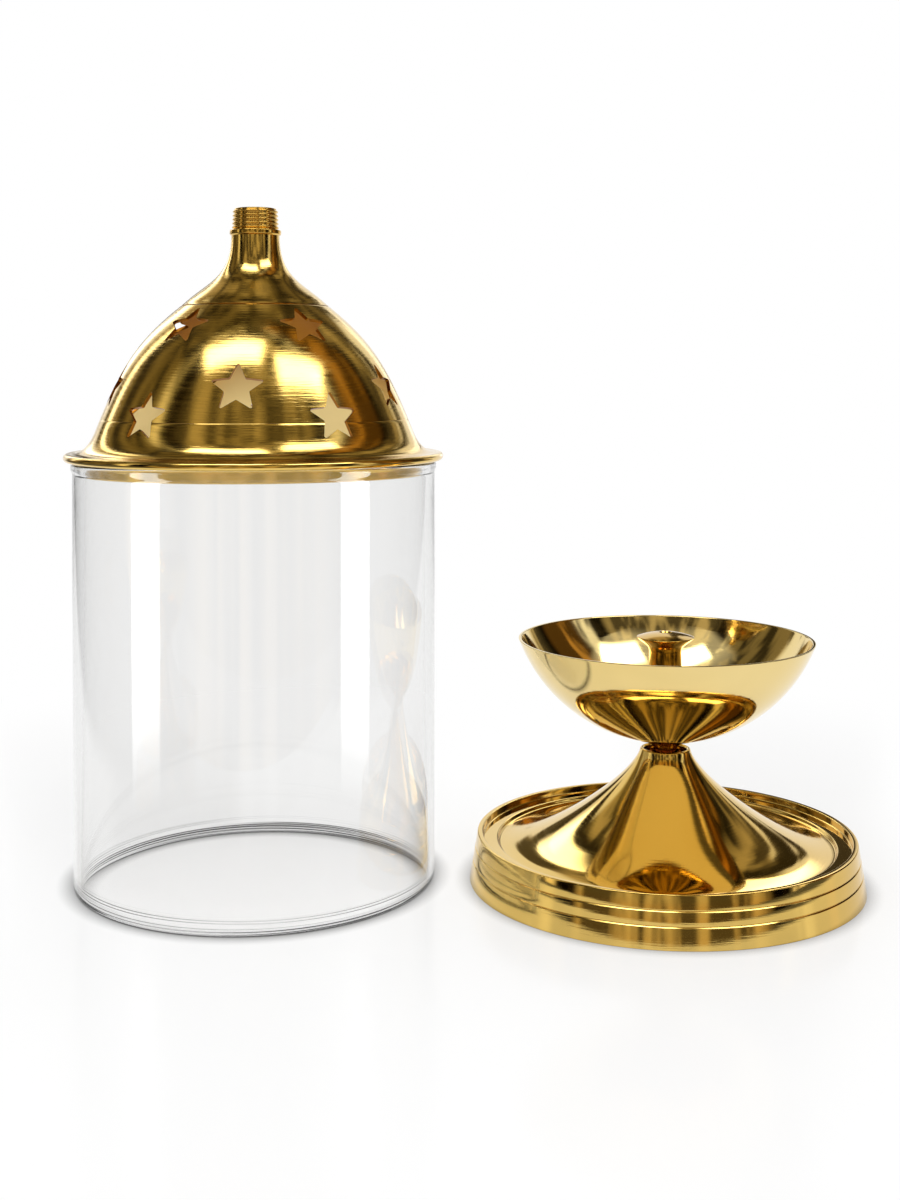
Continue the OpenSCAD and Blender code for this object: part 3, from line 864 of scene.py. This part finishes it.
# Where each panel starts and stops round the wall: 0.5 is behind the camera, 0.25 left, 0.75 right, 0 the back
WALL_PANELS = [
    (0.0, MID), (1.0, MID),
    (0.035, MID), (0.045, DIM), (0.085, DIM), (0.095, MID), (0.115, MID), (0.125, DIM),
    (0.27, DIM), (0.283, PALE), (0.295, PALE), (0.305, DARK), (0.335, DARK), (0.35, MID), (0.625, MID),
    (0.655, DARK), (0.68, DARK), (0.69, WHITE), (0.72, WHITE), (0.735, AMBER), (0.815, AMBER),
    (0.83, DARK), (0.87, MID), (0.89, MID), (0.9, DIM), (0.95, DIM), (0.965, MID),
]


def flat_sheet(name, side, front, back, height):
    """A level rectangle as a mesh."""
    data = bpy.data.meshes.new(name)
    corners = [(-side, front, height), (side, front, height), (side, back, height), (-side, back, height)]
    data.from_pydata(corners, [], [(0, 1, 2, 3)])
    return data


def stage_piece(name, data, material, glossy_only=False):
    """A piece of the studio round the object."""
    made = bpy.data.objects.new(name, data)
    data.materials.append(material)
    bpy.context.collection.objects.link(made)
    if glossy_only:
        made.visible_camera = made.visible_diffuse = made.visible_shadow = False


def make_floor():
    """White gloss sheet that keeps a faint reflection and the shadow, and goes over to plain white round them."""
    made, tree = new_material("white_gloss_sheet")
    place = add(tree, "ShaderNodeTexCoord").outputs["Object"]
    haze = noise(tree, place, (30, 30, 30), Detail=3.0)
    contact = add(tree, "ShaderNodeAmbientOcclusion", {
        "Color": colour("#FBFBFB"), "Distance": CONTACT_SHADOW}, samples=8)
    surface = add(tree, "ShaderNodeBsdfPrincipled", {
        "Base Color": contact.outputs["Color"], "Roughness": ranged(tree, haze, 0, 1, 0.12, 0.2),
        "Specular IOR Level": 0.45})
    # White all over, while the metal sees the sheet end at each side
    x, y, _ = add(tree, "ShaderNodeSeparateXYZ", {"Vector": place}).outputs
    aside = maths(tree, "MULTIPLY_ADD", y, -FLOOR_EDGE_SLANT, maths(tree, "ABSOLUTE", x))
    edge = ranged(tree, aside, FLOOR_EDGE, FLOOR_EDGE + FLOOR_EDGE_FADE, 1.0, 0.12)
    path = add(tree, "ShaderNodeLightPath").outputs
    in_metal = maths(tree, "GREATER_THAN", path["Is Glossy Ray"], path["Is Transmission Ray"])
    level = maths(tree, "MULTIPLY", ranged(tree, in_metal, 0, 1, 1.0, edge), contact.outputs["AO"])
    away = add(tree, "ShaderNodeVectorMath", {0: place}, operation="LENGTH")
    fade = ranged(tree, away.outputs["Value"], PLAIN_FROM, PLAIN_TO, PLAIN_NEAR, 1.0,
                  interpolation_type="SMOOTHSTEP")
    both = mixed(tree, fade, surface.outputs["BSDF"], glow(tree, level))
    add(tree, "ShaderNodeOutputMaterial", {"Surface": both})
    made.cycles.emission_sampling = "NONE"
    stage_piece("floor", flat_sheet("floor", FLOOR_SIDE, FLOOR_FRONT, FLOOR_BACK, FLOOR_Z), made)


def make_studio():
    """Round wall and ceiling of a warm, dim studio with white at the back, seen only in the metal and the glass.

    Upright bright and dark panels and folds give the streaks down the dome, the bowl and the cone, and the white
    sheet behind gives them pale edges.
    """
    made, tree = new_material("studio_wall_panels")
    place = add(tree, "ShaderNodeTexCoord").outputs["Object"]
    facing = add(tree, "ShaderNodeMapping", {"Vector": place, "Rotation": (0, 0, math.pi / 2)})
    bearing = add(tree, "ShaderNodeTexGradient", {"Vector": facing.outputs["Vector"]}, gradient_type="RADIAL")
    panels = add(tree, "ShaderNodeValToRGB", {"Fac": bearing.outputs["Fac"]})
    ramp = panels.color_ramp
    for i, (spot, tone) in enumerate(WALL_PANELS):
        stop = ramp.elements[i] if i < 2 else ramp.elements.new(spot)
        stop.position, stop.color = spot, colour(tone)
    _, y, z = add(tree, "ShaderNodeSeparateXYZ", {"Vector": place}).outputs
    folds = noise(tree, place, FOLDS, Detail=3.0)
    streaks = ranged(tree, folds, 0.44, 0.56, 0.2, 1.3)
    dim = ranged(tree, z, 0.2, WALL_TOP, 1.0, 0.7)
    warm = blend(tree, ranged(tree, z, -0.1, 0.1), WARM_FLOOR_GLOW, NO_TINT)
    tinted = blend(tree, 1.0, panels.outputs["Color"], warm, blend_type="MULTIPLY")
    room = glow(tree, maths(tree, "MULTIPLY", streaks, dim), tinted)
    # The sheet at the back is whole near the floor and broken by the folds above
    behind = ranged(tree, y, SHEET_BACK, SHEET_BACK + 0.12)
    short = ranged(tree, z, SHEET_TOP, SHEET_TOP - 2 * SHEET_FADE)
    whole = ranged(tree, z, SHEET_WHOLE, SHEET_WHOLE - SHEET_FADE)
    shown = maths(tree, "MAXIMUM", whole, ranged(tree, folds, 0.47, 0.5))
    sheet = maths(tree, "MULTIPLY", maths(tree, "MULTIPLY", behind, short), shown)
    for_metal = mixed(tree, sheet, room, glow(tree, 1.0))
    # Through the tube the room is white. Where light crosses only its wall, at the edges and the foot, the folds show
    path = add(tree, "ShaderNodeLightPath").outputs
    through = maths(tree, "GREATER_THAN", path["Transmission Depth"], CROSSED_WALL)
    shade = ranged(tree, folds, 0.42, 0.54, 0.6, 1.05)
    for_glass = glow(tree, ranged(tree, through, 0, 1, shade, 1.0))
    # Metal that stands behind the glass mirrors the room as the rest of the metal does, only paler
    mirrored = maths(tree, "MULTIPLY", path["Glossy Depth"], through)
    straight = maths(tree, "MULTIPLY_ADD", mirrored, -ROOM_BEHIND_GLASS, path["Is Transmission Ray"], use_clamp=True)
    add(tree, "ShaderNodeOutputMaterial", {"Surface": mixed(tree, straight, for_metal, for_glass)})
    made.cycles.emission_sampling = "NONE"
    mesh = bmesh.new()
    bmesh.ops.create_cone(mesh, cap_ends=False, segments=96, depth=WALL_TOP - WALL_LOW,
                          radius1=WALL_R, radius2=WALL_R)
    bmesh.ops.translate(mesh, verts=mesh.verts, vec=(0, 0, (WALL_TOP + WALL_LOW) / 2))
    wall = bpy.data.meshes.new("studio_wall")
    mesh.to_mesh(wall)
    mesh.free()
    stage_piece("studio_wall", wall, made, glossy_only=True)
    ceiling = flat_sheet("studio_ceiling", WALL_R, -WALL_R, WALL_R, WALL_TOP)
    stage_piece("studio_ceiling", ceiling, made, glossy_only=True)


def make_world():
    """White round the object for the eye, the metal and the glass, and a plain ambient light for the rest."""
    world = bpy.data.worlds.new("white_studio")
    bpy.context.scene.world = world
    world.use_nodes = True
    tree = world.node_tree
    tree.nodes.clear()
    path = add(tree, "ShaderNodeLightPath").outputs
    eye = maths(tree, "MAXIMUM", path["Is Camera Ray"], path["Is Glossy Ray"])
    seen = maths(tree, "MAXIMUM", eye, path["Is Transmission Ray"])
    sky = add(tree, "ShaderNodeBackground", {
        "Color": colour("#FFFFFF"), "Strength": ranged(tree, seen, 0, 1, AMBIENT, 1.0)})
    add(tree, "ShaderNodeOutputWorld", {"Surface": sky.outputs["Background"]})


def light_group(name, *pieces):
    """Pieces that share a lamp of their own."""
    made = bpy.data.collections.new(name)
    for piece in pieces:
        made.objects.link(piece)
    return made


def softbox(name, place, aim, width, height, power, only):
    """A rectangular lamp with soft edges, aimed at a point, for the pieces of one group."""
    lamp = bpy.data.lights.new(name, "AREA")
    lamp.shape = "RECTANGLE"
    lamp.size, lamp.size_y, lamp.energy = width, height, power
    lamp.use_nodes = True
    tree = lamp.node_tree
    tree.nodes.clear()
    # Places across and up the lamp run from 0 to 1, so its middle is at a half
    spot = add(tree, "ShaderNodeNewGeometry").outputs["Parametric"]
    offset = add(tree, "ShaderNodeVectorMath", {0: spot, 1: (0.5, 0.5, 0)}, operation="SUBTRACT")
    aside = add(tree, "ShaderNodeVectorMath", {0: offset.outputs["Vector"]}, operation="ABSOLUTE")
    x, y, _ = add(tree, "ShaderNodeSeparateXYZ", {"Vector": aside.outputs["Vector"]}).outputs
    across = ranged(tree, x, 0.5, 0.4, interpolation_type="SMOOTHSTEP")
    painted_shade_upward = ranged(tree, y, 0.5, 0.2, interpolation_type="SMOOTHSTEP")
    add(tree, "ShaderNodeOutputLight", {"Surface": glow(tree, maths(tree, "MULTIPLY", across, painted_shade_upward))})
    made = bpy.data.objects.new(name, lamp)
    made.location = place
    made.rotation_euler = (Vector(aim) - Vector(place)).to_track_quat("-Z", "Y").to_euler()
    made.visible_camera = False
    made.visible_transmission = False
    made.light_linking.receiver_collection = only
    bpy.context.collection.objects.link(made)


make_floor()
make_studio()
make_world()
metal_only = light_group(
    "metal_only", pedestal, neck_bush, oil_bowl, bowl_foot, wick_holder, lid_dome, lid_collar, lid_spigot)
glass_only = light_group("glass_only", glass_chimney)
bowl_only = light_group("bowl_only", oil_bowl, wick_holder)
pedestal_only = light_group("pedestal_only", pedestal)
lid_only = light_group("lid_only", lid_dome, lid_spigot)
floor_only = light_group("floor_only", bpy.data.objects["floor"])
LID_MIDDLE = (-0.056, 0, 0.15)
TRAY_MIDDLE = (0.056, 0, 0.02)
# Each lamp: name, place and aim in metres, width, height, power in watts, and the pieces that it lights
LAMPS = [
    ("softbox_left", (-0.4, -0.5, 1.6), (-0.4, -0.4, 0.1), 1.14, 0.62, 13.0, metal_only),
    ("softbox_right", (0.92, -0.55, 1.6), (0.87, -0.45, 0.1), 1.12, 0.8, 16.0, metal_only),
    ("softbox_bowl", (0.06, -0.6, 1.55), (0.06, -0.59, 0.1), 3.2, 2.0, 9.0, bowl_only),
    ("back_left", (-0.29, 0.91, 0.72), TRAY_MIDDLE, 0.24, 0.7, 1.8, pedestal_only),
    ("back_right", (0.42, 0.91, 0.72), TRAY_MIDDLE, 0.24, 0.7, 1.8, pedestal_only),
    ("lid_left", (-0.71, 1.13, 0.65), LID_MIDDLE, 0.22, 0.9, 1.4, lid_only),
    ("lid_far_left", (-1.03, 0.82, 0.74), LID_MIDDLE, 0.16, 1.4, 1.8, lid_only),
    ("lid_right", (0.344, 1.31, 0.44), LID_MIDDLE, 0.22, 0.8, 0.8, lid_only),
    ("softbox_floor", (0, -0.5, 1.6), (0, -0.1, 0), 2.2, 0.7, 13.0, floor_only),
    ("strip_left", (-0.1518, -0.0767, 0.1), (-0.0799, -0.0417, 0.1), 0.04, 0.2, 0.26, glass_only),
    ("strip_right", (0.048, -0.0625, 0.1), (-0.0276, -0.0364, 0.1), 0.04, 0.2, 0.26, glass_only),
]
for lamp_values in LAMPS:
    softbox(*lamp_values)

bpy.context.scene.view_settings.view_transform = "Standard"
